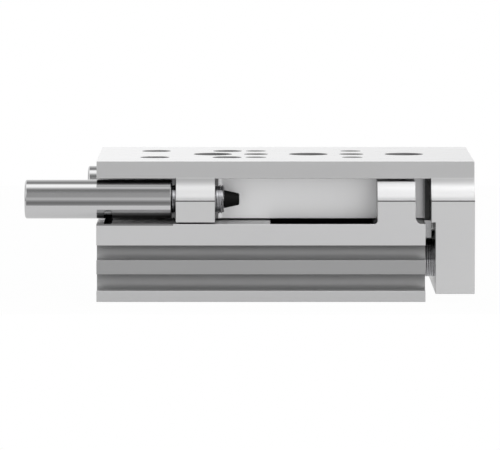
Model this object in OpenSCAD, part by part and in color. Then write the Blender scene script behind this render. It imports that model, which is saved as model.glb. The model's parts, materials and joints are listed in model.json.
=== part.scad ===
// Pneumatic slide table: a twin-piston housing with a cage-guided table,
// an adjustable end stop for each direction and clamped mounting holes.
// X is the stroke, +X extends; Z is up; the origin is the middle of the base.

/* [Housing] */
// Length of the housing along the stroke
housing_l = 67.5; // [67:0.5:70]
// Width of the housing
housing_w = 52; // [51:0.5:53]
// Height of the housing without its lugs
housing_h = 16; // [15.5:0.1:16.2]
// Diameter of the two piston bores
bore_d = 10; // [9:0.5:10]
// Distance of each piston axis from the middle
bore_y = 11.5; // [11.2:0.1:11.8]
// Height of the piston axes above the base
bore_z = 8; // [7.8:0.1:8.2]
// Height of the lugs above the base
lug_top = 24.55; // [24.2:0.05:24.6]

/* [Sensor grooves] */
// Height of the upper groove
groove_upper_z = 10.1; // [10:0.05:10.3]
// Mouth width of the upper groove
groove_upper_mouth = 3.0; // [2.8:0.1:3.2]
// Height of the lower groove
groove_lower_z = 3.98; // [3.9:0.02:4.2]
// Mouth width of the lower groove
groove_lower_mouth = 3.35; // [2.8:0.05:3.4]
// Diameter of the round inside of a groove
groove_d = 4.0; // [3.6:0.1:4.1]

/* [Table] */
// Length of the table with its yoke
table_l = 77.6; // [77:0.2:80]
// Width of the table's top face
table_w = 46; // [45:0.5:47]
// Height of the top face above the base
table_top = 28.7; // [28.5:0.1:29.5]
// Thickness of the table plate
plate_t = 3.55; // [3.5:0.05:3.6]
// Thickness of the yoke
yoke_t = 8.05; // [7.5:0.05:8.1]
// Height of the yoke's lower edge above the base
yoke_bottom = 1.65; // [1:0.05:3]
// Width over the two guide skirts
skirt_w = 30; // [29.6:0.2:30]
// Travel of the table
travel = 28.2; // [20:0.1:28.2]

/* [End stops] */
// Distance of the absorber axes from the middle
absorber_y = 21; // [20.8:0.1:21.2]
// Height of the absorber axes above the base
absorber_z = 20.8; // [20.7:0.1:20.9]
// Diameter of the absorber tubes
tube_d = 8; // [7.6:0.1:8]
// Length of the absorber tubes
tube_l = 30.15; // [28:0.05:32]
// Outside diameter of the threaded necks
neck_d = 6; // [5:0.5:6]
// Stroke of the absorber plungers
plunger_stroke = 3; // [2:0.1:3]

/* [Guide] */
// Width of the guide rail
rail_w = 13; // [12.6:0.2:13]
// Height of the guide rail
rail_h = 6.2; // [6:0.1:6.2]
// Diameter of the guide balls
ball_d = 2.5; // [2.3:0.1:2.5]
// Number of balls in each cage
ball_count = 6; // [4:1:6]

/* [Hidden] */
$fn = 48;

eps = 0.01;
x_end = housing_l / 2;
y_side = housing_w / 2;

// Table and yoke
yoke_front = -x_end + table_l;
yoke_back = yoke_front - yoke_t;
yoke_step = 0.9;
plate_z = table_top - plate_t;
skirt_y = skirt_w / 2;
skirt_t = 1.8;
skirt_bottom = housing_h + 0.35;
yoke_fillet = 2;
block_fillet = 1.5;

// Side coves of the yoke, the clamp block and the lugs
cove_w = y_side - table_w / 2;
cove_z = 20.8;
cove_h = 4.7;
cove_r = (cove_h * cove_h + cove_w * cove_w) / (2 * cove_w);

// End stops along X
block_l = 7.8;
stop_play = 0.15;
lug_y = skirt_y + 0.3;
lug_fillets = [0.7, 1.3];
clamp_x = [-17.5, -9.4];
tube_gap = 0.85;
neck_past = 1.8;
buffer_l = 3.15;
tube_end = clamp_x[0] - tube_gap;
neck_end = clamp_x[1] + neck_past;
buffer_tip = neck_end + buffer_l;
return_shift = 11.7;
holder_x = [for (x = clamp_x) x + return_shift];
stop_x0 = buffer_tip + return_shift + stop_play;
stop_x = [stop_x0, stop_x0 + block_l];
lug_x0 = buffer_tip + travel + stop_play;
lug_x = [lug_x0, lug_x0 + block_l];

// Relief pockets in the housing's top, behind its front edge, as X ranges
relief_x = [[-32.2, -30.7], [2, lug_x[0] - lug_fillets[0] - 0.1]];
relief_y = [-y_side + 0.5, -8];
relief_depth = 1;
relief_r = 0.7;

// Inside of an absorber
tube_wall = 1;
tube_base = 2;
neck_grip = 6;
plunger_d = 2;
plunger_head_l = 2.5;
buffer_base_d = 3.7;
buffer_tip_d = 2.5;
spring_wire = 0.5;
spring_turns = 13;

// Guide
runner_x = [-32.5, 3.5];
runner_w = 2 * (skirt_y - skirt_t) - 0.2;
runner_slot = rail_w + 1.6;
runner_web = 2.55;
runner_bottom = housing_h + 0.7;
ball_y = rail_w / 2 + 0.4;
ball_z = housing_h + 3.2;
ball_pitch = 3.3;
race_play = 0.03;
cage_t = 0.5;
cage_l = 20.4;
cage_x0 = runner_x[1] - cage_l - 0.4;
rail_l = 65;

// Holes
m4_core = 3.3;
m4_clear = 4.4;
m4_head = 7.4;
m3_core = 2.5;
m3_clear = 3.3;
m3_head = 5.5;
mount_pitch = 20;
mount_x = [-mount_pitch / 2, mount_pitch / 2];
rail_screw_x = [-mount_pitch, 0, mount_pitch];
access_x = concat(mount_x, [1.5 * mount_pitch]);
access_d = 8;
centring_d = 5;
centring_depth = 1.8;
payload_x = [-1, mount_pitch - 1];
payload_y = mount_pitch / 2;
runner_screw_x = [-22, -7];
runner_screw_y = 10;
runner_seat = 2;
base_thread_x = mount_pitch;
base_thread_y = 19.5;
yoke_thread_y = 20;
yoke_thread_z = [8, 18];
yoke_centring_y = 10;

// Cylinders along X
cap_x = [-x_end + 1.15, -x_end + 6.15];
guide_x = [22.6, x_end - 1.75];
washer_t = 0.6;
circlip_t = 0.6;
circlip_d = bore_d + 0.8;
seal_x = [guide_x[1] - 2.6, guide_x[1] - 0.6];
seal_d = 7.2;
rod_d = 4;
rod_tail_d = 3;
rod_end = yoke_back + 3;
piston_x = [cap_x[1] + 1, cap_x[1] + 9];
piston_d = bore_d - 0.2;
port_x = -x_end;
port_y = 3.3;
port_d = 4.2;
port_l = 5.5;
channel_y = 3.6;
channel_z = 9.3;
channel_d = 1.8;
rear_cross_x = -26.4;
rear_cross_z = 6.9;
front_cross_x = 17;
front_cross_z = 7.7;
plug_d = 2.4;
plug_l = 2.2;

// Hard stop plate: width, height and thickness, and its screws
stop_plate = [30, 3.7, 1.6];
stop_plate_z = housing_h - stop_plate[1] / 2;
stop_screw_y = 5;

aluminium = [0.78, 0.78, 0.79];
steel = [0.66, 0.66, 0.68];
dark_steel = [0.3, 0.3, 0.32];
brass = [0.75, 0.62, 0.36];
rubber = [0.06, 0.06, 0.06];

// Solid cylinder along X
module x_rod(x, d, y = 0, z = 0) {
    translate([x[0], y, z]) rotate([0, 90, 0]) cylinder(h = x[1] - x[0], d = d);
}

// Ring along X
module x_ring(x, d_out, d_in, y = 0, z = 0) {
    difference() {
        x_rod(x, d_out, y, z);
        x_rod([x[0] - 1, x[1] + 1], d_in, y, z);
    }
}

// Cone along X
module x_cone(x, d_a, d_b, y = 0, z = 0) {
    translate([x[0], y, z]) rotate([0, 90, 0]) cylinder(h = x[1] - x[0], d1 = d_a, d2 = d_b);
}

// Hexagonal prism along X, by its width across flats
module x_hex(x, flats, y = 0, z = 0) {
    translate([x[0], y, z]) rotate([0, 90, 0]) cylinder(h = x[1] - x[0], d = flats * 2 / sqrt(3), $fn = 6);
}

// Vertical cylinder between two heights
module z_rod(x, y, z, d) {
    translate([x, y, z[0]]) cylinder(h = z[1] - z[0], d = d);
}

// Vertical cone between two heights
module z_cone(x, y, z, d_a, d_b) {
    translate([x, y, z[0]]) cylinder(h = z[1] - z[0], d1 = d_a, d2 = d_b);
}

// Box between two corners
module span(lo, hi) {
    translate(lo) cube(hi - lo);
}

// Extrudes an outline drawn in Y and Z along X
module along_x(x) {
    translate([x[0], 0, 0]) rotate([90, 0, 90]) linear_extrude(height = x[1] - x[0]) children();
}

// Both piston axes
module each_bore() {
    for (y = [-bore_y, bore_y]) translate([0, y, bore_z]) children();
}

// Threaded blind or through hole from above, with a chamfered mouth
module thread_top(x, y, z, d) {
    z_rod(x, y, z, d);
    z_cone(x, y, [z[1] - 0.5, z[1] + eps], d, d + 1);
}

// Outline of a block with a cove on its outer side, for the -Y side
module cove_outline(y_in, z_bottom, z_top) {
    difference() {
        translate([-y_side, z_bottom]) square([y_side - y_in, z_top - z_bottom]);
        translate([-table_w / 2 - cove_r, cove_z + cove_h]) circle(r = cove_r, $fn = 96);
        translate([-y_side - 1, cove_z + cove_h])
            square([y_side + 1 - table_w / 2, z_top - cove_z - cove_h + 1]);
    }
}

// Outline of a lug's foot with its two base fillets, drawn in X and Z
module foot_outline(x, fillets) {
    translate([x[0], housing_h - 1]) square([x[1] - x[0], lug_top - housing_h + 1]);
    difference() {
        translate([x[0] - fillets[0], housing_h - 1])
            square([x[1] - x[0] + fillets[0] + fillets[1], 1 + max(fillets)]);
        translate([x[0] - fillets[0], housing_h + fillets[0]]) circle(r = fillets[0]);
        translate([x[1] + fillets[1], housing_h + fillets[1]]) circle(r = fillets[1]);
        translate([x[0] - fillets[0] - 1, housing_h + fillets[0]])
            square([fillets[0] + 1, 3]);
        translate([x[1], housing_h + fillets[1]]) square([fillets[1] + 1, 3]);
    }
}

// Lug on the housing, for the -Y side
module lug(x, fillets) {
    intersection() {
        along_x([x[0] - 2, x[1] + 2]) cove_outline(lug_y, housing_h - 1, lug_top);
        rotate([90, 0, 0]) linear_extrude(height = y_side + 1) foot_outline(x, fillets);
    }
}

// Undercut groove for a position sensor, for the -Y side
module groove_outline(z, mouth) {
    translate([-y_side - 1, z - mouth / 2]) square([1 + groove_d / 2, mouth]);
    translate([-y_side + 0.4 + groove_d / 2 - 0.8, z]) circle(d = groove_d);
}

module housing_outline() {
    difference() {
        translate([-y_side, 0]) square([housing_w, housing_h]);
        for (s = [0, 1]) mirror([s, 0]) {
            groove_outline(groove_upper_z, groove_upper_mouth);
            groove_outline(groove_lower_z, groove_lower_mouth);
        }
    }
}

// Threaded hole that holds an absorber neck, chamfered at both mouths
module neck_hole(x, side) {
    y = side * absorber_y;
    x_rod([x[0] - 1, x[1] + 1], neck_d, y, absorber_z);
    x_cone([x[0] - eps, x[0] + 0.3], neck_d + 0.6, neck_d, y, absorber_z);
    x_cone([x[1] - 0.3, x[1] + eps], neck_d, neck_d + 0.6, y, absorber_z);
}

module cylinder_bores() {
    each_bore() {
        x_rod([-x_end - 1, x_end + 1], bore_d);
        x_rod([cap_x[0] - circlip_t, cap_x[0]], circlip_d);
        x_rod([guide_x[1] + washer_t, guide_x[1] + washer_t + circlip_t], circlip_d);
        x_cone([-x_end - eps, -x_end + 0.3], bore_d + 0.6, bore_d);
        x_cone([x_end - 0.3, x_end + eps], bore_d, bore_d + 0.6);
    }
}

// Supply ports in the rear end and the drilled air channels
module air_paths() {
    for (s = [-1, 1]) {
        x_rod([port_x - 1, port_x + port_l], port_d, s * port_y, bore_z);
        x_cone([port_x - eps, port_x + 0.5], port_d + 1, port_d, s * port_y, bore_z);
    }
    x_rod([port_x + port_l - 1, rear_cross_x], channel_d, -port_y, rear_cross_z + 0.6);
    x_rod([port_x + port_l - 1, front_cross_x], channel_d, channel_y, channel_z);
    for (c = [[rear_cross_x, rear_cross_z, 1.6], [front_cross_x, front_cross_z, channel_d]]) {
        translate([c[0], -bore_y, c[1]]) rotate([-90, 0, 0])
            cylinder(h = y_side + bore_y + 1, d = c[2]);
        translate([c[0], y_side - plug_l, c[1]]) rotate([-90, 0, 0])
            cylinder(h = plug_l + 1, d = plug_d);
    }
}

// Milled pocket with round corners
module relief_pocket(x) {
    z = [housing_h - relief_depth, housing_h + 1];
    for (a = [x[0] + relief_r, x[1] - relief_r], b = [relief_y[0] + relief_r, relief_y[1] - relief_r])
        z_rod(a, b, z, 2 * relief_r);
    span([x[0], relief_y[0] + relief_r, z[0]], [x[1], relief_y[1] - relief_r, z[1]]);
    span([x[0] + relief_r, relief_y[0], z[0]], [x[1] - relief_r, relief_y[1], z[1]]);
}

module housing() {
    color(aluminium) difference() {
        union() {
            along_x([-x_end, x_end]) housing_outline();
            lug(lug_x, lug_fillets);
            mirror([0, 1, 0]) lug(holder_x, [0.7, 0.7]);
        }
        cylinder_bores();
        air_paths();
        for (x = mount_x) {
            z_rod(x, 0, [-1, housing_h + 1], m4_clear);
            z_rod(x, 0, [-1, 4.4], m4_head);
        }
        for (x = rail_screw_x) z_rod(x, 0, [housing_h - 6, housing_h + 1], m3_core);
        for (x = [-base_thread_x, base_thread_x]) {
            z_rod(x, 0, [-1, centring_depth], centring_d);
            z_cone(x, 0, [-eps, 0.3], centring_d + 0.6, centring_d);
            for (y = [-base_thread_y, base_thread_y]) {
                z_rod(x, y, [-1, 8], m4_core);
                z_cone(x, y, [-eps, 0.5], m4_core + 1, m4_core);
            }
        }
        neck_hole(holder_x, 1);
        for (x = relief_x) relief_pocket(x);
        for (y = [-stop_screw_y, stop_screw_y]) x_rod([x_end - 4, x_end + 1], 1.6, y, stop_plate_z);
    }
}

module guide_rail() {
    color(steel) difference() {
        span([-rail_l / 2, -rail_w / 2, housing_h], [rail_l / 2, rail_w / 2, housing_h + rail_h]);
        for (s = [-1, 1]) x_rod([-rail_l / 2 - 1, rail_l / 2 + 1], ball_d + 2 * race_play,
            s * ball_y, ball_z);
        for (x = mount_x) {
            z_rod(x, 0, [housing_h - 1, housing_h + rail_h + 1], m4_clear);
            z_rod(x, 0, [housing_h + 2, housing_h + rail_h + 1], m4_head);
        }
        for (x = rail_screw_x) {
            z_rod(x, 0, [housing_h - 1, housing_h + rail_h + 1], m3_clear);
            z_rod(x, 0, [housing_h + rail_h - 3.4, housing_h + rail_h + 1], m3_head + 0.5);
        }
    }
}

// Socket head cap screw, head up, seated at the given height
module cap_screw(d, head_d, head_h, length, socket) {
    difference() {
        union() {
            translate([0, 0, -length]) cylinder(h = length, d = d);
            cylinder(h = head_h, d = head_d);
        }
        translate([0, 0, head_h * 0.45]) cylinder(h = head_h, d = socket * 2 / sqrt(3), $fn = 6);
    }
}

module rail_screws() {
    color(dark_steel) for (x = rail_screw_x)
        translate([x, 0, housing_h + rail_h - 3.4]) cap_screw(m3_core, m3_head, 3, 8.4, 2.5);
}

module rear_caps() {
    color(aluminium) each_bore() difference() {
        x_rod(cap_x, bore_d);
        x_ring([cap_x[0] + 2, cap_x[0] + 3.6], bore_d + 1, bore_d - 2.4);
        x_rod([cap_x[0] - 1, cap_x[0] + 1.6], 4.5);
    }
}

module rear_cap_rings() {
    color(rubber) each_bore() x_ring([cap_x[0] + 2.1, cap_x[0] + 3.5], bore_d, bore_d - 2.4);
}

// Internal retaining ring with two eyes, in the Y-Z plane
module circlip(x) {
    along_x([x, x + circlip_t]) difference() {
        union() {
            difference() {
                circle(d = circlip_d);
                circle(d = bore_d - 1.2);
                polygon([[0, 0], [-4, -7], [4, -7]]);
            }
            for (s = [-1, 1]) translate([s * 2.9, -3.1]) circle(d = 2);
        }
        for (s = [-1, 1]) translate([s * 2.9, -3.1]) circle(d = 0.9);
        translate([-1.9, -7]) square([3.8, 5]);
    }
}

module circlips() {
    color(dark_steel) each_bore() {
        circlip(cap_x[0] - circlip_t);
        circlip(guide_x[1] + washer_t);
    }
}

module rod_guides() {
    color(brass) each_bore() difference() {
        x_rod(guide_x, bore_d);
        x_rod([guide_x[0] - 1, guide_x[1] + 1], rod_d + 0.08);
        x_rod([seal_x[0], guide_x[1] + 1], seal_d);
        x_ring([guide_x[0] + 2, guide_x[0] + 3.6], bore_d + 1, bore_d - 2.4);
    }
}

module rod_guide_rings() {
    color(rubber) each_bore() x_ring([guide_x[0] + 2.1, guide_x[0] + 3.5], bore_d, bore_d - 2.4);
}

module rod_seals() {
    color(rubber) each_bore() difference() {
        x_rod(seal_x, seal_d);
        x_rod([seal_x[0] - 1, seal_x[1] + 1], rod_d + 0.04);
        x_ring([seal_x[0] - 1, seal_x[0] + 0.8], rod_d + 2.2, rod_d + 1.2);
    }
}

module rod_washers() {
    color(steel) each_bore() x_ring([guide_x[1], guide_x[1] + washer_t], bore_d, rod_d + 0.2);
}

// Hard stop for the yoke, screwed to the front end of the housing
module end_stop_plate() {
    color(steel) difference() {
        span([x_end, -stop_plate[0] / 2, stop_plate_z - stop_plate[1] / 2],
            [x_end + stop_plate[2], stop_plate[0] / 2, stop_plate_z + stop_plate[1] / 2]);
        for (y = [-stop_screw_y, stop_screw_y]) {
            x_rod([x_end - 1, x_end + 3], 2.1, y, stop_plate_z);
            x_cone([x_end + 0.35, x_end + stop_plate[2] + eps], 2.1, 3.2, y, stop_plate_z);
        }
    }
}

module end_stop_screws() {
    color(dark_steel) for (y = [-stop_screw_y, stop_screw_y]) difference() {
        union() {
            x_rod([x_end - 3.4, x_end + 0.35], 1.6, y, stop_plate_z);
            x_cone([x_end + 0.35, x_end + stop_plate[2] - 0.1], 1.6, 2.9, y, stop_plate_z);
        }
        x_rod([x_end + 0.7, x_end + 3], 1.2, y, stop_plate_z);
    }
}

module air_channel_plugs() {
    color(steel) for (c = [[rear_cross_x, rear_cross_z], [front_cross_x, front_cross_z]])
        translate([c[0], y_side - plug_l, c[1]]) rotate([-90, 0, 0]) cylinder(h = plug_l - 0.3, d = plug_d);
}

// Closed rear tube of an absorber
module absorber_tube(shift, side) {
    x1 = tube_end + shift;
    x0 = x1 - tube_l;
    y = side * absorber_y;
    color(steel) difference() {
        union() {
            x_rod([x0 + 0.3, x1 - 0.15], tube_d, y, absorber_z);
            x_cone([x0, x0 + 0.3], tube_d - 0.6, tube_d, y, absorber_z);
            x_cone([x1 - 0.15, x1], tube_d, tube_d - 0.3, y, absorber_z);
        }
        x_rod([x0 + tube_base, x1 + 1], tube_d - 2 * tube_wall, y, absorber_z);
        x_hex([x0 - 1, x0 + 1.2], 2.5, y, absorber_z);
    }
}

// Threaded neck of an absorber, screwed into the tube
module absorber_neck(shift, side) {
    x0 = tube_end + shift - neck_grip;
    x1 = neck_end + shift;
    y = side * absorber_y;
    color(steel) difference() {
        union() {
            x_rod([x0, x1 - 0.4], neck_d, y, absorber_z);
            x_cone([x1 - 0.4, x1], neck_d, neck_d - 0.8, y, absorber_z);
        }
        x_rod([x0 - 1, x1 + 1], plunger_d + 0.1, y, absorber_z);
        x_rod([x1 - plunger_stroke - 0.6, x1 + 1], buffer_base_d + 0.4, y, absorber_z);
    }
}

module absorber_plunger(shift, side) {
    x1 = buffer_tip + shift - 1.2;
    x0 = tube_end + shift - neck_grip - 0.3;
    y = side * absorber_y;
    color(steel) {
        x_rod([x0 - eps, x1], plunger_d, y, absorber_z);
        x_rod([x0 - plunger_head_l, x0], tube_d - 2 * tube_wall - 0.16, y, absorber_z);
    }
}

module absorber_buffer(shift, side) {
    x1 = buffer_tip + shift;
    x0 = neck_end + shift;
    y = side * absorber_y;
    color(rubber) difference() {
        union() {
            x_cone([x0, x1 - 0.4], buffer_base_d, buffer_tip_d + 0.1, y, absorber_z);
            x_cone([x1 - 0.4, x1], buffer_tip_d + 0.1, buffer_tip_d - 0.5, y, absorber_z);
        }
        x_rod([x0 - 1, x1 - 1.2], plunger_d, y, absorber_z);
    }
}

// Return spring of a plunger, each turn drawn as a ring of wire
module absorber_spring(shift, side) {
    x1 = tube_end + shift - neck_grip - 0.3 - plunger_head_l - spring_wire;
    x0 = tube_end + shift - tube_l + tube_base + spring_wire;
    mean_d = tube_d - 2 * tube_wall - 0.6 - spring_wire;
    color(steel) for (i = [0 : spring_turns - 1])
        translate([x0 + (x1 - x0) * i / (spring_turns - 1), side * absorber_y, absorber_z])
            rotate([0, 90, 0]) rotate_extrude() translate([mean_d / 2, 0]) circle(d = spring_wire);
}

module return_absorber_tube() { absorber_tube(return_shift, 1); }
module return_absorber_neck() { absorber_neck(return_shift, 1); }
module return_plunger() { absorber_plunger(return_shift, 1); }
module return_buffer() { absorber_buffer(return_shift, 1); }
module return_spring() { absorber_spring(return_shift, 1); }
module advance_absorber_tube() { absorber_tube(0, -1); }
module advance_absorber_neck() { absorber_neck(0, -1); }
module advance_plunger() { absorber_plunger(0, -1); }
module advance_buffer() { absorber_buffer(0, -1); }
module advance_spring() { absorber_spring(0, -1); }

module slide_table() {
    color(aluminium) difference() {
        union() {
            span([-x_end, -table_w / 2, plate_z], [yoke_front, table_w / 2, table_top]);
            for (s = [0, 1]) mirror([0, s, 0]) {
                span([-x_end, -skirt_y, skirt_bottom], [yoke_back, -skirt_y + skirt_t, plate_z + eps]);
                along_x([yoke_back - yoke_step, yoke_front]) cove_outline(-eps, yoke_bottom, table_top);
                skirt_fillet(yoke_back - yoke_step, yoke_fillet);
            }
            skirt_block(clamp_x);
            mirror([0, 1, 0]) skirt_block(stop_x);
        }
        span([yoke_back - 2, -y_side - 1, -1], [yoke_back, y_side + 1, skirt_bottom]);
        for (x = access_x) z_rod(x, 0, [plate_z - 1, table_top + 1], access_d);
        for (x = payload_x) {
            z_rod(x, 0, [table_top - centring_depth, table_top + 1], centring_d);
            for (y = [-payload_y, payload_y]) thread_top(x, y, [plate_z - 1, table_top], m4_core);
        }
        for (x = runner_screw_x) for (y = [-runner_screw_y, runner_screw_y]) {
            z_rod(x, y, [plate_z - 1, table_top + 1], m3_clear);
            z_rod(x, y, [table_top - runner_seat, table_top + 1], m3_head + 0.5);
        }
        neck_hole(clamp_x, -1);
        each_bore() {
            x_rod([yoke_back - 1, rod_end + 0.1], rod_d + 0.2);
            x_rod([yoke_back - 1, yoke_front + 1], 2.7);
            x_rod([yoke_front - 3, yoke_front + 1], 5.2);
        }
        for (s = [-1, 1]) {
            for (z = yoke_thread_z) {
                x_rod([yoke_front - 7, yoke_front + 1], m4_core, s * yoke_thread_y, z);
                x_cone([yoke_front - 0.5, yoke_front + eps], m4_core, m4_core + 1, s * yoke_thread_y, z);
            }
            x_rod([yoke_front - centring_depth, yoke_front + 1], centring_d,
                s * yoke_centring_y, yoke_thread_z[1]);
        }
    }
}

// Fillet between a skirt and a face that looks to -X, for the -Y side
module skirt_fillet(x, r) {
    difference() {
        span([x - r, -skirt_y - r, skirt_bottom], [x + eps, -skirt_y + eps, plate_z + eps]);
        z_rod(x - r, -skirt_y - r, [skirt_bottom - 1, plate_z + 1], 2 * r);
    }
}

// Block on a skirt with a cove on its outer side, for the -Y side
module skirt_block(x) {
    along_x(x) cove_outline(skirt_y - eps, skirt_bottom, plate_z + 1);
    skirt_fillet(x[0], block_fillet);
    translate([x[1], 0, 0]) mirror([1, 0, 0]) skirt_fillet(0, block_fillet);
}

module guide_runner() {
    color(steel) difference() {
        span([runner_x[0], -runner_w / 2, runner_bottom], [runner_x[1], runner_w / 2, plate_z]);
        span([runner_x[0] - 1, -runner_slot / 2, runner_bottom - 1],
            [runner_x[1] + 1, runner_slot / 2, plate_z - runner_web]);
        for (s = [-1, 1]) x_rod([runner_x[0] - 1, runner_x[1] + 1], ball_d + 2 * race_play,
            s * ball_y, ball_z);
        for (x = runner_screw_x) for (y = [-runner_screw_y, runner_screw_y])
            z_rod(x, y, [plate_z - 4, plate_z + 1], m3_core);
        z_rod(access_x[0], 0, [plate_z - runner_web - 1, plate_z + 1], access_d);
    }
}

module runner_screws() {
    color(dark_steel) for (x = runner_screw_x) for (y = [-runner_screw_y, runner_screw_y])
        translate([x, y, table_top - runner_seat]) cap_screw(m3_core, m3_head, 1.7, 5, 2);
}

module piston_rods() {
    color(steel) each_bore() difference() {
        union() {
            x_rod([piston_x[1] - eps, rod_end], rod_d);
            x_rod([piston_x[0] + 0.2, piston_x[1]], rod_tail_d);
        }
        x_rod([rod_end - 5.5, rod_end + 1], 2.05);
    }
}

module pistons() {
    color(aluminium) each_bore() difference() {
        x_rod(piston_x, piston_d);
        x_rod([piston_x[0] - 1, piston_x[1] + 1], rod_tail_d);
        for (x = [piston_x[0] + 1, piston_x[1] - 2.4]) x_ring([x, x + 1.4], bore_d + 1, bore_d - 2.6);
        x_ring([piston_x[0] + 3.1, piston_x[0] + 4.9], bore_d + 1, bore_d - 3.4);
        x_rod([piston_x[0] - 1, piston_x[0] + 1.8], 6.0);
    }
}

module piston_seals() {
    color(rubber) each_bore() for (x = [piston_x[0] + 1.05, piston_x[1] - 2.35]) difference() {
        x_rod([x, x + 1.3], bore_d - 0.04);
        x_rod([x - 1, x + 3], bore_d - 2.6);
    }
}

module piston_magnets() {
    color(dark_steel) each_bore()
        x_ring([piston_x[0] + 3.15, piston_x[0] + 4.85], bore_d - 0.6, bore_d - 3.4);
}

module piston_nuts() {
    color(steel) each_bore() difference() {
        x_hex([piston_x[0] + 0.2, piston_x[0] + 1.8], 5);
        x_rod([piston_x[0] - 1, piston_x[0] + 3], rod_tail_d);
    }
}

module rod_collars() {
    color(steel) each_bore() x_ring([x_end + 0.15, yoke_back], 8, rod_d);
}

module rod_screws() {
    color(dark_steel) each_bore() translate([yoke_front - 3, 0, 0]) rotate([0, 90, 0])
        cap_screw(2.05, 4.5, 2.5, 7, 2);
}

// Ball cage of one side
module ball_cage(side) {
    color(brass) difference() {
        span([cage_x0, side * ball_y - cage_t / 2, ball_z - 2.2],
            [cage_x0 + cage_l, side * ball_y + cage_t / 2, ball_z + 2.2]);
        for (i = [0 : ball_count - 1]) translate([ball_at(i), side * ball_y - 1, ball_z])
            rotate([-90, 0, 0]) cylinder(h = 2, d = ball_d + 0.1);
    }
}

function ball_at(i) = cage_x0 + cage_l / 2 + (i - (ball_count - 1) / 2) * ball_pitch;

module guide_balls(side) {
    color(steel) for (i = [0 : ball_count - 1])
        translate([ball_at(i), side * ball_y, ball_z]) sphere(d = ball_d);
}

module near_ball_cage() { ball_cage(-1); }
module far_ball_cage() { ball_cage(1); }
module near_balls() { guide_balls(-1); }
module far_balls() { guide_balls(1); }

housing();
guide_rail();
rail_screws();
rear_caps();
rear_cap_rings();
circlips();
rod_guides();
rod_guide_rings();
rod_seals();
rod_washers();
end_stop_plate();
end_stop_screws();
air_channel_plugs();
return_absorber_tube();
return_absorber_neck();
return_spring();
slide_table();
guide_runner();
runner_screws();
piston_rods();
pistons();
piston_seals();
piston_magnets();
piston_nuts();
rod_collars();
rod_screws();
advance_absorber_tube();
advance_absorber_neck();
advance_spring();
near_ball_cage();
near_balls();
far_ball_cage();
far_balls();
advance_plunger();
advance_buffer();
return_plunger();
return_buffer();
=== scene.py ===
import json
from math import hypot, pi, radians

import bpy
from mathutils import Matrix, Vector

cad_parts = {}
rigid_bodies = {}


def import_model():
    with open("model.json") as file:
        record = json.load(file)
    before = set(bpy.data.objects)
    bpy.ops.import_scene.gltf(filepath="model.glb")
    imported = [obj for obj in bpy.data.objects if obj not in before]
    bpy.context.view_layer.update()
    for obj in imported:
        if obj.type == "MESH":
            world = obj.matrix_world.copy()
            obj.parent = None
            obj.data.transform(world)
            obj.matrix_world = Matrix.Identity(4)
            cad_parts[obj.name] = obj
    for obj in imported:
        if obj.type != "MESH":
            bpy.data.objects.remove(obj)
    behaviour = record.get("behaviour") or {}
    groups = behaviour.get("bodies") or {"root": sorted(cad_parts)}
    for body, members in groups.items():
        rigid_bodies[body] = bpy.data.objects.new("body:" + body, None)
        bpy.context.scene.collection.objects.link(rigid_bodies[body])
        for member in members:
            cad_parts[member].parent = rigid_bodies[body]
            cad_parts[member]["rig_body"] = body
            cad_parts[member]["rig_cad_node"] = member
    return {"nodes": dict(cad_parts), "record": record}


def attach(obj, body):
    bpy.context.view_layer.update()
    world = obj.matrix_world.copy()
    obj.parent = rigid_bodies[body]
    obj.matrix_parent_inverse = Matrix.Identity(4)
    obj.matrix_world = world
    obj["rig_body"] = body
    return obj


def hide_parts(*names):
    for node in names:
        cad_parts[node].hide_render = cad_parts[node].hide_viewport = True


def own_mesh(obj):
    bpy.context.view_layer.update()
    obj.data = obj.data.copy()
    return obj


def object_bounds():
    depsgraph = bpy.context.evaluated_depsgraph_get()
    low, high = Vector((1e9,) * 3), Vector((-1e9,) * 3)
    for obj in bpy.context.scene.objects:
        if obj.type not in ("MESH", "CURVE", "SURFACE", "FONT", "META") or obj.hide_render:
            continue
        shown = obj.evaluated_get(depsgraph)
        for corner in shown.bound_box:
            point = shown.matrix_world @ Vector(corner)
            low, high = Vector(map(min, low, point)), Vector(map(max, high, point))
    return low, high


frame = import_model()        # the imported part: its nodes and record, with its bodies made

nodes = frame["nodes"]
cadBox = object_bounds()
mm = 0.001
slotOf = {part["node"]: part["material_slot"] for part in frame["record"]["subparts"]}


class Shade:
    # one socket of a node tree, with arithmetic

    def __init__(self, tree, socket=None):
        self.tree = tree
        self.socket = socket

    def node(self, kind, settings=None, inputs=None, output=0):
        # any node: its settings first, then the values or links of its sockets
        made = self.tree.nodes.new(kind)
        for name, value in (settings or {}).items():
            if name == "stops":
                ramp = made.color_ramp
                while len(ramp.elements) < len(value):
                    ramp.elements.new(0.5)
                for element, (place, grey) in zip(ramp.elements, value):
                    element.position = place
                    element.color = (grey, grey, grey, 1)
            else:
                setattr(made, name, value)
        for key, value in (inputs or {}).items():
            if isinstance(value, Shade):
                self.tree.links.new(value.socket, made.inputs[key])
            else:
                made.inputs[key].default_value = value
        return Shade(self.tree, made.outputs[output] if made.outputs else None)

    def math(self, operation, *others):
        return self.node("ShaderNodeMath", {"operation": operation},
                         dict(enumerate((self,) + others)))

    def __add__(self, other):
        return self.math("ADD", other)

    def __mul__(self, other):
        return self.math("MULTIPLY", other)

    def __sub__(self, other):
        return self.math("SUBTRACT", other)

    def __rsub__(self, other):
        return self * -1.0 + other

    __radd__ = __add__
    __rmul__ = __mul__

    def above(self, edge, soft):
        # 0 below edge, 1 above it, over a soft step
        return self.node("ShaderNodeMapRange", {"interpolation_type": "SMOOTHSTEP"},
                         {"Value": self, "From Min": edge - soft / 2, "From Max": edge + soft / 2})

    def between(self, low, high, soft):
        return self.above(low, soft) * (1 - self.above(high, soft))

    def split(self):
        return [self.node("ShaderNodeSeparateXYZ", None, {0: self}, i) for i in range(3)]


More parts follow.
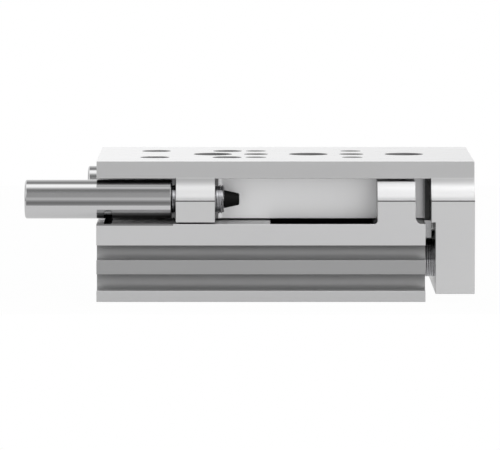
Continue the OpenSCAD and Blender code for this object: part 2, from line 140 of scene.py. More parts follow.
def newTree(owner):
    owner.use_nodes = True
    owner.node_tree.nodes.clear()
    return Shade(owner.node_tree)


def deselect():
    if bpy.context.mode != "OBJECT":
        bpy.ops.object.mode_set(mode="OBJECT")
    bpy.ops.object.select_all(action="DESELECT")


def pick(obj):
    deselect()
    obj.select_set(True)
    bpy.context.view_layer.objects.active = obj
    return obj


studio = {
    "cameraAt": (-2.245 * mm, -1108.4 * mm, 101.6 * mm),
    "cameraTilt": 85.47,
    "lens": 381.6,
    "sensor": 36,
    "seesTo": 20,
    "floorSize": (0.5, 0.36),
    "floorFront": 26 * mm,     # how far the floor sheet reaches in front of the object
    "floorGap": 0.02 * mm,
    "floorPaper": 0.5,
    "floorWhite": 0.98,        # for what the camera sees
    "floorGloss": 0.6,         # share of that white in reflections
    # light level by the angle round the stroke axis: under the front, front, above, rear
    "bands": [(-150, 0.68), (-60, 0.77), (-44, 0.72), (-37, 0.58), (-28, 0.30), (-16, 0.23),
              (-9, 0.36), (3, 0.72), (10, 0.65), (18, 0.46), (38, 0.43), (48, 0.31), (57, 0.24),
              (64, 0.34), (72, 0.72), (80, 1.32), (92, 1.46), (99, 1.26), (107, 0.48),
              (116, 0.26), (128, 0.40), (140, 0.60), (158, 0.78), (170, 1.00), (180, 1.00)],
    # the same to the left and right, which only satin faces pick up from the front
    "sideBands": [(-180, 0.85), (-60, 0.60), (-20, 0.85), (0, 0.95), (20, 1.05), (47, 2.70),
                  (75, 1.30), (105, 0.85), (140, 0.72), (180, 0.80)],
    "sideEdge": 0.09,          # how far to the side they take over
    "sideSoft": 0.08,
    "wings": (0.5, 0.9, 0.65), # the light falls off towards the far left and right
    "slope": 2.0,              # the front is brighter on the right, the rear on the left
    "slopeMost": 0.3,
}


def buildStudio():
    cam = bpy.data.cameras.new("camera")
    cam.lens = studio["lens"]
    cam.sensor_width = studio["sensor"]
    cam.clip_end = studio["seesTo"]
    holder = bpy.data.objects.new("camera", cam)
    holder.location = studio["cameraAt"]
    holder.rotation_euler = (radians(studio["cameraTilt"]), 0, 0)
    bpy.context.scene.collection.objects.link(holder)
    bpy.context.scene.camera = holder
    bpy.context.scene.view_settings.view_transform = "Standard"

    world = bpy.data.worlds.new("studio")
    bpy.context.scene.world = world
    tree = newTree(world)
    x, y, z = tree.node("ShaderNodeTexCoord", None, None, 0).split()
    turn = z.math("ARCTAN2", y * -1.0) * (0.5 / pi) + 0.5

    def ramp(levels):
        stops = [((angle + 180) / 360, level) for angle, level in levels]
        return turn.node("ShaderNodeValToRGB", {"stops": stops}, {0: turn})

    side = x.math("ABSOLUTE").above(studio["sideEdge"], studio["sideSoft"])
    most = studio["slopeMost"]
    slope = (x * y * -studio["slope"] + 1.0).math("MAXIMUM", 1.0 - most).math("MINIMUM", 1.0 + most)
    near, far, least = studio["wings"]
    wings = x.math("ABSOLUTE").above((near + far) / 2, far - near)
    level = (ramp(studio["bands"]) * (1 - side) + ramp(studio["sideBands"]) * side) * slope \
        * (1 - wings * (1 - least))
    seen = tree.node("ShaderNodeLightPath", None, None, 0)
    light = level * (1 - seen) + seen
    tree.node("ShaderNodeOutputWorld", None,
              {0: tree.node("ShaderNodeBackground", None, {0: light, 1: 1.0})})


def buildFloor():
    low, high = cadBox
    wide, deep = studio["floorSize"]
    deselect()
    bpy.ops.mesh.primitive_plane_add(size=1)
    floor = bpy.context.object
    floor.name = "floor"
    floor.scale = (wide, deep, 1)
    floor.location = ((low[0] + high[0]) / 2, low[1] - studio["floorFront"] + deep / 2,
                      low[2] - studio["floorGap"])
    paint = bpy.data.materials.new("floorSheet")
    tree = newTree(paint)
    seen, glossy, clear = [tree.node("ShaderNodeLightPath", None, None, name)
                           for name in ("Is Camera Ray", "Is Glossy Ray", "Is Transmission Ray")]
    paper = tree.node("ShaderNodeBsdfDiffuse", None, {"Color": (*[studio["floorPaper"]] * 3, 1)})
    white = tree.node("ShaderNodeEmission", None, {0: (1, 1, 1, 1), 1: 1.0})
    share = (seen + (glossy + clear) * studio["floorGloss"]) * studio["floorWhite"]
    both = tree.node("ShaderNodeMixShader", None, {0: share, 1: paper, 2: white})
    tree.node("ShaderNodeOutputMaterial", None, {0: both})
    floor.data.materials.append(paint)


buildStudio()
buildFloor()
print("studio done")


mottle = {"scale": 60.0, "change": 0.03}     # broad change of tone on every metal
rubberGrain = {"scale": 2500.0, "change": 0.15, "bump": 0.3, "height": 0.03 * mm}
metalGrainHeight = 0.02 * mm


def metal(name, base, roughness, stretch=(1, 1, 1), grainSize=900, grain=0.04, bump=0.0, zones=None,
          metallic=1.0):
    # satin metal: the grain changes tone and roughness a little along the tool's path;
    # zones(x, y, z) gives a tone factor and a roughness change by place
    material = bpy.data.materials.new(name)
    tree = newTree(material)
    place = tree.node("ShaderNodeTexCoord", None, None, 3)
    stretched = place.node("ShaderNodeMapping", None, {0: place, 3: stretch})
    noise = place.node("ShaderNodeTexNoise", None,
                       {"Vector": stretched, "Scale": grainSize, "Detail": 3.0, "Roughness": 0.6})
    wide = place.node("ShaderNodeTexNoise", None,
                      {"Vector": place, "Scale": mottle["scale"], "Detail": 2.0})
    tone = (noise - 0.5) * grain + (wide - 0.5) * mottle["change"] + 1.0
    rough = (noise - 0.5) * (grain * 2) + roughness
    if zones:
        factor, change = zones(*place.split())
        tone = tone * factor
        rough = rough + change
    color = place.node("ShaderNodeMix", {"data_type": "RGBA", "blend_type": "MULTIPLY"},
                       {0: 1.0, 6: (*base, 1), 7: tone}, 2)
    inputs = {"Base Color": color, "Metallic": metallic, "Roughness": rough}
    if bump:
        inputs["Normal"] = place.node("ShaderNodeBump", None,
                                      {"Strength": bump, "Distance": metalGrainHeight, "Height": noise})
    shader = place.node("ShaderNodeBsdfPrincipled", None, inputs)
    tree.node("ShaderNodeOutputMaterial", None, {0: shader})
    return material


def rubber(name, base, roughness, gloss=0.5):
    material = bpy.data.materials.new(name)
    tree = newTree(material)
    place = tree.node("ShaderNodeTexCoord", None, None, 3)
    noise = place.node("ShaderNodeTexNoise", None,
                       {"Vector": place, "Scale": rubberGrain["scale"], "Detail": 4.0})
    shader = place.node("ShaderNodeBsdfPrincipled", None, {
        "Base Color": (*base, 1), "Metallic": 0.0,
        "Roughness": (noise - 0.5) * rubberGrain["change"] + roughness,
        "Specular IOR Level": gloss,
        "Normal": place.node("ShaderNodeBump", None,
                             {"Strength": rubberGrain["bump"], "Distance": rubberGrain["height"],
                              "Height": noise})})
    tree.node("ShaderNodeOutputMaterial", None, {0: shader})
    return material


housingTones = {                   # zones of the housing's surface
    "edge": 0.05 * mm,         # width of the step between two tones
    "wideEdge": 0.1 * mm,
    "from": 2.3 * mm,          # heights between which the sides are darker
    "to": 11.6 * mm,
    "depth": 22 * mm,
    "end": 33.7 * mm,
    "tone": 0.58,
    "roughness": 0.03,
    "bottomShadeTone": 0.88,        # painted shade on the band below the grooves
    "top": (15.9 * mm, 16.1 * mm),
    "topFrom": -18 * mm,       # the top has other painted light and shade to the left than to the right of there
    "leftPaintedLight": 0.5,           # left: painted light in the middle, painted shade towards the outer edge
    "leftPaintedShade": 0.95,
    "leftMiddle": 21.5 * mm,
    "leftFade": 6 * mm,
    "leftLip": (25.72 * mm, 15.7 * mm),   # depth and height of the painted shadow on the lip on the left
    "leftLipShadowTone": 0.3,
    "rightLip": 24.8 * mm,     # right: painted shade behind the lip, under the table
    "rightFade": 0.3 * mm,
    "rightShadeTone": 0.7,
    "pockets": [(-32.3 * mm, -30.6 * mm, 23.2 * mm), (1.9 * mm, 24.0 * mm, 25.6 * mm)],
    "pocketFront": 7.9 * mm,   # the relief pockets are painted black, as shade
    "pocketHeights": (14.8 * mm, 16.9 * mm),
    "pocketShadeTone": 0.03,
    "pocketRoughness": 0.3,
    "coveHighlight": 0.15,          # painted highlight on the lug's cove, with painted shade at its top
    "coveTop": 24.2 * mm,
    "coveFade": 0.4 * mm,
    "coveTopShade": 0.25,
}
plate = {                      # zones of the table's surface
    "edge": 0.05 * mm,
    "wideEdge": 0.1 * mm,
    "bottom": 25.3 * mm,
    "top": 28.685 * mm,
    "topEdge": 0.01 * mm,
    "side": 22.9 * mm,
    "holeTo": 22.8 * mm,       # inside of there only the walls of holes are left
    "end": 43.75 * mm,
    "rear": 33.65 * mm,
    "sideTone": 0.515,
    "topTone": 0.9,
    "topRoughness": -0.14,
    "holeShadeTone": 0.25,
    "holeRoughness": 0.2,
    "blocks": 15.3 * mm,       # the blocks and the yoke, outside the skirts, take a darker tone, so that the skirts stand lighter as painted light against the shade under the plate
    "blockTone": 0.625,
    "yoke": 34.85 * mm,        # the yoke and the plate's end faces have the blocks' tone
    "coveHighlight": 0.04,          # painted highlight: the coves are a little brighter, and more so to the right
    "coveRightLight": 0.11,
    "coveRight": 20 * mm,
    "coveTop": 24.1 * mm,      # painted shade: they are darker again at their top
    "coveFade": 1.6 * mm,
    "coveTopShade": 0.27,
    # painted shade along the side faces of the blocks and the yoke
    "blockSides": [(-17.58 * mm, -17.42 * mm), (-9.48 * mm, -9.32 * mm), (34.8 * mm, 34.97 * mm)],
    "blockSideShade": 0.4,
    # painted shade in the fillets between the blocks and the skirts
    "fillets": [(-9.42 * mm, -8.0 * mm), (33.6 * mm, 34.95 * mm)],
    "filletTo": 17 * mm,
    "filletShade": 0.5,
    "inner": [(34.8 * mm, 34.97 * mm), (35.7 * mm, 35.87 * mm)],      # the yoke's smooth inner faces
    "innerDepth": 25.85 * mm,
    "innerTo": 20.6 * mm,
    "innerRoughness": -0.3,
}
cove = {                       # the coves of the blocks, the yoke and the lug, and the painted shade line in the groove under them
    "edge": 0.1 * mm,
    "depths": (22.95 * mm, 25.95 * mm),
    "heights": (20.9 * mm, 25.2 * mm),
    "roughness": -0.1,
    "seamEdge": 0.02 * mm,
    "seamDepths": (25.7 * mm, 25.96 * mm),
    "seamHeights": (20.6 * mm, 20.84 * mm),
    "seamShadeTone": 0.1,
}


def toned(mask, tone):
    # 1 outside the mask and the tone inside it
    return 1 - mask * (1 - tone)


def coves(out, z):
    return out.between(*cove["depths"], cove["edge"]) * z.between(*cove["heights"], cove["edge"])


# painted shade: a dark line along the groove under the coves
def seamShadeLine(out, z):
    soft = cove["seamEdge"]
    return toned(z.between(*cove["seamHeights"], soft) * out.between(*cove["seamDepths"], soft),
                 cove["seamShadeTone"])


def housingZones(x, y, z):
    soft, wide = housingTones["edge"], housingTones["wideEdge"]
    out = y.math("ABSOLUTE")
    long = 1 - x.math("ABSOLUTE").above(housingTones["end"], soft)
    rightOf = x.above(housingTones["topFrom"], soft)
    sides = long * out.above(housingTones["depth"], wide) * z.between(housingTones["from"], housingTones["to"], wide)
    bottom = long * (1 - z.above(housingTones["from"], wide))
    lipDepth, lipHeight = housingTones["leftLip"]
    lip = long * out.above(lipDepth, soft) * z.above(lipHeight, soft) * (1 - rightOf)
    top = z.between(*housingTones["top"], soft)
    left = top * (1 - rightOf) * (1 - out.above(lipDepth, soft))
    right = top * rightOf * (1 - out.above(housingTones["rightLip"], housingTones["rightFade"]))
    outward = out.above(housingTones["leftMiddle"], housingTones["leftFade"])
    near = y * -1.0
    pocket = z.between(*housingTones["pocketHeights"], soft) \
        * sum(x.between(start, end, soft) * near.between(housingTones["pocketFront"], reach, soft)
              for start, end, reach in housingTones["pockets"])
    coveTop = z.above(housingTones["coveTop"], housingTones["coveFade"])
    # painted light and shade: the top is darkened under the table and on the lip and lightened under the
    # tube, the pockets are painted black and the lug's cove gets a painted highlight
    tone = toned(sides, housingTones["tone"]) * toned(bottom, housingTones["bottomShadeTone"]) \
        * (left * (housingTones["leftPaintedLight"] - outward * housingTones["leftPaintedShade"]) + 1.0) \
        * toned(right, housingTones["rightShadeTone"]) * toned(pocket, housingTones["pocketShadeTone"]) \
        * toned(lip, housingTones["leftLipShadowTone"]) * seamShadeLine(out, z) \
        * (coves(out, z) * (housingTones["coveHighlight"] - coveTop * housingTones["coveTopShade"]) + 1.0)
    return tone, sides * housingTones["roughness"] + pocket * housingTones["pocketRoughness"] \
        + coves(out, z) * cove["roughness"]


def tableZones(x, y, z):
    # the plate's sides are darker and its ground top is smoother; painted shade darkens the walls of the
    # holes through it, the sides of the blocks, the fillets and the line under the coves, and the coves
    # get a painted highlight
    soft, wide = plate["edge"], plate["wideEdge"]
    out = y.math("ABSOLUTE")
    top = z.above(plate["top"], plate["topEdge"])
    high = z.above(plate["bottom"], wide) * (1 - top)
    below = 1 - z.above(plate["bottom"], wide)
    long = x.between(-plate["rear"], plate["end"], soft)
    sides = out.above(plate["side"], soft) * high * long
    holes = high * long * (1 - out.above(plate["holeTo"], soft))
    outer = out.above(plate["blocks"], soft)
    blocks = outer.math("MAXIMUM", x.above(plate["yoke"], soft)) * below
    ends = (x.above(plate["end"], soft) + 1.0 - x.above(-plate["rear"], soft)) * high
    inner = sum(x.between(*faces, soft) for faces in plate["inner"]) \
        * (1 - out.above(plate["innerDepth"], soft)) * (1 - z.above(plate["innerTo"], soft))
    blockSides = blocks * outer * sum(x.between(*faces, soft) for faces in plate["blockSides"])
    fillets = blocks * out.between(plate["blocks"], plate["filletTo"], soft) \
        * sum(x.between(*ends, soft) for ends in plate["fillets"])
    coveHighlight = x.above(plate["coveRight"], soft) * plate["coveRightLight"] + plate["coveHighlight"] \
        - z.above(plate["coveTop"], plate["coveFade"]) * plate["coveTopShade"]
    tone = toned(sides, plate["sideTone"]) * toned(holes, plate["holeShadeTone"]) \
        * toned(blocks + ends, plate["blockTone"]) * toned(blockSides, plate["blockSideShade"]) \
        * toned(fillets, plate["filletShade"]) * (coves(out, z) * coveHighlight + 1.0) \
        * seamShadeLine(out, z) + top * (plate["topTone"] - 1)
    return tone, top * plate["topRoughness"] + inner * plate["innerRoughness"] \
        + holes * plate["holeRoughness"] + coves(out, z) * cove["roughness"]


sleeve = {                     # zones of the absorbers' polished tubes
    "edge": 0.03 * mm,
    "near": -18.35 * mm,       # where the tubes end in front of their blocks, near and far side
    "far": -6.65 * mm,
    "width": 0.2 * mm,
    "above": 16.5 * mm,
    "aboveFade": 0.1 * mm,
    "tone": 0.12,
    "roughness": 0.2,
    "under": -33.75 * mm,      # painted shade and reflection: the near tube is painted darker where the plate covers it, in place of the dark gaps it would mirror; the bands give the heights and tones
    "bands": [(15 * mm, 17.6 * mm, 0.12), (17.6 * mm, 18.2 * mm, 0.5), (23.4 * mm, 24.35 * mm, 0.42),
              (24.35 * mm, 26 * mm, 0.1)],
    "bandFade": 0.2 * mm,
}


def tubeZones(x, y, z):
    soft, half = sleeve["edge"], sleeve["width"]
    farSide = y.above(0, mm)
    near, far = [x.between(sleeve[side] - half, sleeve[side] + half, soft) for side in ("near", "far")]
    ends = (near * (1 - farSide) + far * farSide) * z.above(sleeve["above"], sleeve["aboveFade"])
    # painted shade where the plate covers the near tube
    under = x.above(sleeve["under"], soft) * (1 - farSide)
    dark = sum(z.between(low, high, sleeve["bandFade"]) * (1 - tone)
               for low, high, tone in sleeve["bands"])
    return toned(ends, sleeve["tone"]) * (1 - under * dark), ends * sleeve["roughness"]


collarPaintedReflection = {                # painted reflection: the rod collars are lighter below this height than above it, as if mirroring the floor below and the dark gap above
    "to": 7.8 * mm,
    "fade": 0.6 * mm,
    "tones": (1.5, 0.6),
    "roughness": 0.05,
}


def collarZones(x, y, z):
    low = 1 - z.above(collarPaintedReflection["to"], collarPaintedReflection["fade"])
    below, above = collarPaintedReflection["tones"]
    return low * (below - above) + above, low * collarPaintedReflection["roughness"]


finishes = {
    "anodised_housing": metal("anodisedHousing", (0.6, 0.6, 0.605), 0.42, (0.04, 1, 1), 2600, 0.025,
                              zones=housingZones, metallic=0.7),
    "anodised_table": metal("anodisedTable", (0.97, 0.97, 0.975), 0.42, (0.06, 1, 1), 2200, 0.02,
                            zones=tableZones, metallic=0.7),
    "anodised_cap": metal("anodisedCap", (0.78, 0.78, 0.785), 0.35),
    "ground_steel": metal("groundSteel", (0.6, 0.6, 0.61), 0.24, (0.03, 1, 1), 3000, 0.08),
    "polished_steel": metal("polishedSteel", (0.63, 0.63, 0.635), 0.07, (0.2, 1, 1), 1500, 0.02,
                            zones=tubeZones),
    "threaded_steel": metal("threadedSteel", (0.5, 0.5, 0.51), 0.14),
    "spring_steel": metal("springSteel", (0.35, 0.35, 0.36), 0.3),
    "black_screw": metal("blackScrew", (0.06, 0.06, 0.065), 0.38),
    "oxide_steel": metal("oxideSteel", (0.4, 0.4, 0.41), 0.16, zones=collarZones),
    "zinc_screw": metal("zincScrew", (0.62, 0.62, 0.63), 0.3),
    "bearing_bronze": metal("bearingBronze", (0.55, 0.38, 0.2), 0.3),
    "cage_brass": metal("cageBrass", (0.7, 0.52, 0.24), 0.3),
    "ball_steel": metal("ballSteel", (0.75, 0.75, 0.76), 0.05),
    "magnet": rubber("magnet", (0.05, 0.05, 0.055), 0.5),
    "seal_rubber": rubber("sealRubber", (0.02, 0.02, 0.02), 0.45),
    "buffer_rubber": rubber("bufferRubber", (0.004, 0.004, 0.004), 0.6, 0.08),
}

for name, obj in nodes.items():
    obj.data.materials.clear()
    obj.data.materials.append(finishes[slotOf[name]])
print("materials done")


def dress(piece, node):
    # the piece stands for a CAD node, moves with its body and has its finish
    piece.data.materials.clear()
    piece.data.materials.append(finishes[slotOf[node]])
    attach(piece, nodes[node]["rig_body"])
    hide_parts(node)


def applyModifier(piece, kind, **settings):
    pick(piece)
    modifier = piece.modifiers.new(kind.lower(), kind)
    for key, value in settings.items():
        setattr(modifier, key, value)
    bpy.ops.object.modifier_apply(modifier=modifier.name)


def smoothFlats(piece, angle=50):
    # rounded edges shade softly and flat faces stay flat
    pick(piece)
    bpy.ops.object.shade_smooth_by_angle(angle=radians(angle))
    applyModifier(piece, "WEIGHTED_NORMAL", keep_sharp=True, weight=100)


def place(piece, shift):
    # moves a mesh, so that its object stays at the origin
    pick(piece)
    bpy.ops.object.mode_set(mode="EDIT")
    bpy.ops.mesh.select_all(action="SELECT")
    bpy.ops.transform.translate(value=shift)
    bpy.ops.object.mode_set(mode="OBJECT")
    return piece


def turned(name, outline, axis, steps=48):
    # turned part along X round the axis at (y, z); the outline holds (x, radius) from end to end
    deselect()
    bpy.ops.mesh.primitive_plane_add(size=1 * mm)
    piece = bpy.context.object
    piece.name = piece.data.name = name
    bpy.ops.object.mode_set(mode="EDIT")
    bpy.ops.mesh.select_all(action="SELECT")
    bpy.ops.mesh.merge(type="CENTER")
    bpy.ops.mesh.select_all(action="SELECT")
    bpy.ops.transform.translate(value=(outline[0][0], 0, outline[0][1]))
    for before, after in zip(outline, outline[1:]):
        step = (after[0] - before[0], 0, after[1] - before[1])
        bpy.ops.mesh.extrude_region_move(TRANSFORM_OT_translate={"value": step})
    bpy.ops.object.mode_set(mode="OBJECT")
    applyModifier(piece, "SCREW", axis="X", angle=2 * pi, screw_offset=0, iterations=1,
                  steps=steps, render_steps=steps, use_merge_vertices=True, merge_threshold=0.001 * mm)
    pick(piece)
    bpy.ops.object.mode_set(mode="EDIT")
    bpy.ops.mesh.select_all(action="SELECT")
    bpy.ops.mesh.remove_doubles(threshold=0.001 * mm)
    bpy.ops.mesh.normals_make_consistent(inside=False)
    bpy.ops.object.mode_set(mode="OBJECT")
    return place(piece, (0, *axis))


def cut(piece, cutters):
    for cutter in cutters:
        applyModifier(piece, "BOOLEAN", object=cutter, operation="DIFFERENCE", solver="EXACT")
        bpy.data.objects.remove(cutter)


def join(pieces):
    deselect()
    for piece in pieces:
        piece.select_set(True)
    bpy.context.view_layer.objects.active = pieces[0]
    bpy.ops.object.join()
    return pieces[0]


def thread(name, radius, depth, pitch, start, end, axis, upright=False, steps=36):
    # screw thread along X between start and end, round the axis at (y, z), with chamfered ends;
    # an upright one runs along Z, round the axis at (x, y). Its profile is the upper half of a
    # square standing on a corner, stretched to the thread's depth
    root = radius - depth
    deselect()
    bpy.ops.mesh.primitive_circle_add(vertices=4, radius=pitch / 2, rotation=(pi / 2, 0, 0))
    piece = bpy.context.object
    piece.name = piece.data.name = name
    bpy.ops.object.transform_apply(location=False, rotation=True, scale=False)
    bpy.ops.object.mode_set(mode="EDIT")
    bpy.ops.mesh.select_all(action="DESELECT")
    bpy.ops.object.mode_set(mode="OBJECT")
    lowest = min(piece.data.vertices, key=lambda v: v.co.z)
    lowest.select = True
    bpy.ops.object.mode_set(mode="EDIT")
    bpy.ops.mesh.delete(type="VERT")
    bpy.ops.mesh.select_all(action="SELECT")
    bpy.ops.transform.resize(value=(1, 1, depth / (pitch / 2)))
    bpy.ops.object.mode_set(mode="OBJECT")
    base = min(v.co.z for v in piece.data.vertices)
    for vertex in piece.data.vertices:
        vertex.co.z += root - base
        vertex.co.x += start - pitch
    turns = int((end - start) / pitch) + 3
    applyModifier(piece, "SCREW", axis="X", angle=2 * pi, screw_offset=pitch, iterations=turns,
                  steps=steps, render_steps=steps)
    bpy.ops.object.mode_set(mode="EDIT")
    bpy.ops.mesh.select_all(action="SELECT")
    bpy.ops.mesh.remove_doubles(threshold=pitch / 500)
    for cutAt, outer in ((start, False), (end, True)):
        bpy.ops.mesh.select_all(action="SELECT")
        bpy.ops.mesh.bisect(plane_co=(cutAt, 0, 0), plane_no=(1, 0, 0), use_fill=True,
                            clear_inner=not outer, clear_outer=outer)
    bpy.ops.mesh.select_all(action="SELECT")
    bpy.ops.mesh.normals_make_consistent(inside=False)
    bpy.ops.object.mode_set(mode="OBJECT")
    for vertex in piece.data.vertices:
        reach = hypot(vertex.co.y, vertex.co.z)
        allowed = root - depth * 0.1 + min(vertex.co.x - start, end - vertex.co.x)
        if reach > allowed:
            vertex.co.y *= allowed / reach
            vertex.co.z *= allowed / reach
    if upright:
        piece.rotation_euler = (0, -pi / 2, 0)
        pick(piece)
        bpy.ops.object.transform_apply(location=False, rotation=True, scale=False)
        return place(piece, (*axis, 0))
    return place(piece, (0, *axis))


def bar(low, high):
    # box cutter between two corners
    deselect()
    bpy.ops.mesh.primitive_cube_add(size=1, location=[(a + b) / 2 for a, b in zip(low, high)],
                                    scale=[b - a for a, b in zip(low, high)])
    bpy.ops.object.transform_apply()
    return bpy.context.object


weldGap = 0.002 * mm           # points nearer than this become one
flatWithin = 0.4               # degrees between faces that are joined to one flat
edgeFrom = 28                  # degrees between faces whose edge is broken


def edgedCopy(node, pieceName, width, clamp=True, cutters=()):
    # copy of a CAD node's surface with its flats joined, its threads cut and its sharp edges broken
    source = nodes[node]
    piece = source.copy()
    piece.data = source.data.copy()
    piece.name = piece.data.name = pieceName
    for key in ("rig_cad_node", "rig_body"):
        if key in piece:
            del piece[key]
    bpy.context.scene.collection.objects.link(piece)
    pick(piece)
    bpy.ops.object.mode_set(mode="EDIT")
    bpy.ops.mesh.select_all(action="SELECT")
    bpy.ops.mesh.remove_doubles(threshold=weldGap)
    bpy.ops.mesh.dissolve_limited(angle_limit=radians(flatWithin), delimit={"NORMAL"})
    bpy.ops.object.mode_set(mode="OBJECT")
    if piece.data.has_custom_normals:
        bpy.ops.mesh.customdata_custom_splitnormals_clear()
    applyModifier(piece, "BEVEL", width=width, segments=2, limit_method="ANGLE",
                  angle_limit=radians(edgeFrom), use_clamp_overlap=clamp, miter_outer="MITER_SHARP")
    cut(piece, cutters)
    smoothFlats(piece)
    dress(piece, node)
    return piece


m4 = {"radius": 2.0 * mm, "depth": 0.42 * mm, "pitch": 0.7 * mm}
m5 = {"radius": 2.5 * mm, "depth": 0.47 * mm, "pitch": 0.8 * mm}
seam = {                       # groove under the coves of the blocks and the yoke
    "z": 20.72 * mm,
    "size": 0.18 * mm,
    "y": 26 * mm,
    "reach": 60 * mm,
}


def seamCutters():
    half = seam["size"] / 2
    return [bar((-seam["reach"], side * seam["y"] - half * 2, seam["z"] - half),
                (seam["reach"], side * seam["y"] + half * 2, seam["z"] + half)) for side in (-1, 1)]


baseThread = {"start": -1 * mm, "end": 8 * mm, "upright": True}
portThread = {"start": -35 * mm, "end": -28.5 * mm}
payloadThread = {"start": 24 * mm, "end": 30 * mm, "upright": True}
yokeThread = {"start": 36.9 * mm, "end": 45 * mm}


def threads(name, size, ends, across, along):
    # one cutter for each pair of places round which a thread is cut
    return [thread(name, **size, **ends, axis=(a * mm, b * mm)) for a in across for b in along]


housingThreads = threads("baseThread", m4, baseThread, (-20, 20), (-19.5, 19.5)) \
    + threads("portThread", m5, portThread, (-3.3, 3.3), (8,))
tableThreads = threads("payloadThread", m4, payloadThread, (-1, 19), (-10, 10)) \
    + threads("yokeThread", m4, yokeThread, (-20, 20), (8, 18))
print("thread cutters done")

edges = {
    "housing": ("housingCasing", 0.1 * mm, False, seamCutters() + housingThreads),
    "slide_table": ("tableCasting", 0.1 * mm, False, seamCutters() + tableThreads),
    "guide_rail": ("guideRail", 0.12 * mm, False, ()),
    "guide_runner": ("guideRunner", 0.12 * mm, False, ()),
    "rail_screws": ("railScrews", 0.08 * mm, True, ()),
    "rear_caps": ("rearCaps", 0.1 * mm, True, ()),
    "rear_cap_rings": ("rearCapRings", 0.3 * mm, True, ()),
    "circlips": ("circlips", 0.05 * mm, True, ()),
    "rod_guides": ("rodGuides", 0.1 * mm, True, ()),
    "rod_guide_rings": ("rodGuideRings", 0.3 * mm, True, ()),
    "rod_seals": ("rodSeals", 0.1 * mm, True, ()),
    "rod_washers": ("rodWashers", 0.08 * mm, True, ()),
    "end_stop_plate": ("endStopPlate", 0.1 * mm, False, ()),
    "end_stop_screws": ("endStopScrews", 0.06 * mm, True, ()),
    "air_channel_plugs": ("airChannelPlugs", 0.1 * mm, True, ()),
    "advance_absorber_tube": ("advanceTube", 0.08 * mm, True, ()),
    "return_absorber_tube": ("returnTube", 0.08 * mm, True, ()),
    "runner_screws": ("runnerScrews", 0.08 * mm, True, ()),
    "piston_rods": ("pistonRods", 0.15 * mm, True, ()),
    "pistons": ("pistons", 0.1 * mm, True, ()),
    "piston_seals": ("pistonSeals", 0.15 * mm, True, ()),
    "piston_magnets": ("pistonMagnets", 0.1 * mm, True, ()),
    "piston_nuts": ("pistonNuts", 0.1 * mm, True, ()),
    "rod_screws": ("rodScrews", 0.08 * mm, True, ()),
    "near_ball_cage": ("nearBallCage", 0.04 * mm, True, ()),
    "far_ball_cage": ("farBallCage", 0.04 * mm, True, ()),
    "advance_plunger": ("advancePlunger", 0.1 * mm, True, ()),
    "return_plunger": ("returnPlunger", 0.1 * mm, True, ()),
}
for node, (pieceName, width, clamp, cutters) in edges.items():
    made = edgedCopy(node, pieceName, width, clamp, cutters)
    print(pieceName, len(made.data.polygons), "faces")

absorber = {
    "y": 21 * mm,
    "z": 20.8 * mm,
    "neckFrom": -24.35 * mm,   # ends of the neck's thread, of the advance absorber
    "neckTo": -7.6 * mm,
    "neckRadius": 3 * mm,
    "threadDepth": 0.3 * mm,
    "threadPitch": 0.5 * mm,
    "rodHole": 1.05 * mm,
    "seatRadius": 2.05 * mm,
    "seatDepth": 3.6 * mm,
    "bufferTo": -4.45 * mm,
    "bufferRadius": 1.85 * mm,
    "tipRadius": 1.25 * mm,
    "tipRound": 0.3 * mm,
    "bufferEdge": 0.1 * mm,    # small chamfer at its base and dimple in its tip
    "bufferBore": 1 * mm,      # radius of the plunger inside it, which ends under the tip
    "bufferCap": 1.2 * mm,
    "springFrom": -46 * mm,
    "springTo": -27.65 * mm,
    "springRadius": 2.45 * mm,
    "springWire": 0.25 * mm,
    "springTurns": 13,
    "wireSides": 10,
    "stepsPerTurn": 28,
    "press": 3 * mm,
}
returnShift = 11.7 * mm        # the return absorber sits this much further along


def threadedNeck(pieceName, node, shift, axis):
    start, end = absorber["neckFrom"] + shift, absorber["neckTo"] + shift
    piece = thread(pieceName, absorber["neckRadius"], absorber["threadDepth"], absorber["threadPitch"],
                   start, end, axis, steps=48)
    hole, seat = absorber["rodHole"], absorber["seatRadius"]
    cut(piece, [turned("cutter", [(start - 1 * mm, 0), (start - 1 * mm, hole),
                                  (end - absorber["seatDepth"], hole), (end - absorber["seatDepth"], seat),
                                  (end + 1 * mm, seat), (end + 1 * mm, 0)], axis)])
    smoothFlats(piece, 40)
    dress(piece, node)


def buffer(pieceName, node, shift, axis):
    # soft tapered tip over the plunger's end
    start, end = absorber["neckTo"] + shift, absorber["bufferTo"] + shift
    wide, tip, corner = absorber["bufferRadius"], absorber["tipRadius"], absorber["tipRound"]
    edge, bore, inner = absorber["bufferEdge"], absorber["bufferBore"], end - absorber["bufferCap"]
    piece = turned(pieceName, [(start, bore), (start, wide - edge), (start + edge, wide),
                               (end - corner, tip), (end - corner * 0.3, tip - corner * 0.3),
                               (end, tip - corner), (end, edge * 3), (end - edge, 0),
                               (inner, 0), (inner, bore), (start, bore)], axis)
    smoothFlats(piece, 35)
    dress(piece, node)


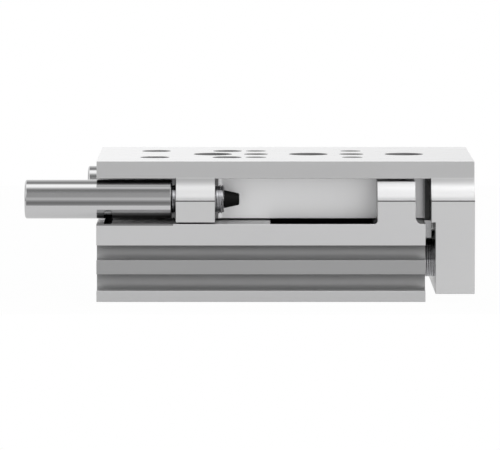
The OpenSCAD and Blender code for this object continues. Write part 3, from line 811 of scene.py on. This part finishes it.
def spring(pieceName, node, shift, axis):
    # helical return spring inside an absorber
    start, end = absorber["springFrom"] + shift, absorber["springTo"] + shift
    turns = absorber["springTurns"]
    deselect()
    bpy.ops.mesh.primitive_circle_add(vertices=absorber["wireSides"], radius=absorber["springWire"],
                                      rotation=(pi / 2, 0, 0),
                                      location=(start, 0, absorber["springRadius"]))
    piece = bpy.context.object
    piece.name = piece.data.name = pieceName
    bpy.ops.object.transform_apply()
    applyModifier(piece, "SCREW", axis="X", angle=2 * pi * turns, screw_offset=end - start, iterations=1,
                  steps=absorber["stepsPerTurn"] * turns, render_steps=absorber["stepsPerTurn"] * turns)
    bpy.ops.object.mode_set(mode="EDIT")
    bpy.ops.mesh.select_all(action="SELECT")
    bpy.ops.mesh.fill_holes(sides=0)
    bpy.ops.mesh.normals_make_consistent(inside=False)
    bpy.ops.object.mode_set(mode="OBJECT")
    place(piece, (0, *axis))
    smoothFlats(piece, 60)
    dress(piece, node)
    1 - absorber["press"] / (end - start)
    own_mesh(piece)


for kind, shift, side in (("advance", 0, -1), ("return", returnShift, 1)):
    axis = (side * absorber["y"], absorber["z"])
    threadedNeck(kind + "Neck", kind + "_absorber_neck", shift, axis)
    buffer(kind + "Buffer", kind + "_buffer", shift, axis)
    spring(kind + "Spring", kind + "_spring", shift, axis)
print("absorbers done")

collar = {
    "from": 33.9 * mm,
    "to": 35.8 * mm,
    "radius": 4 * mm,
    "bore": 2 * mm,
    "y": 11.5 * mm,
    "z": 8 * mm,
    "grooves": 4,
    "grooveDepth": 0.15 * mm,
    "chamfer": 0.1 * mm,
}


def rodCollars():
    # two collars with fine turned grooves
    start, end, radius, bore = [collar[key] for key in ("from", "to", "radius", "bore")]
    step = (end - start) / (collar["grooves"] + 1)
    chamfer = collar["chamfer"]
    outline = [(start, bore), (start, radius - chamfer), (start + chamfer, radius)]
    for number in range(1, collar["grooves"] + 1):
        middle = start + number * step
        outline += [(middle - step * 0.3, radius), (middle, radius - collar["grooveDepth"]),
                    (middle + step * 0.3, radius)]
    outline += [(end - chamfer, radius), (end, radius - chamfer), (end, bore), (start, bore)]
    pair = [turned("rodCollars", outline, (side * collar["y"], collar["z"]), 64) for side in (-1, 1)]
    piece = join(pair)
    smoothFlats(piece, 20)
    dress(piece, "rod_collars")


rodCollars()
print("collars done")
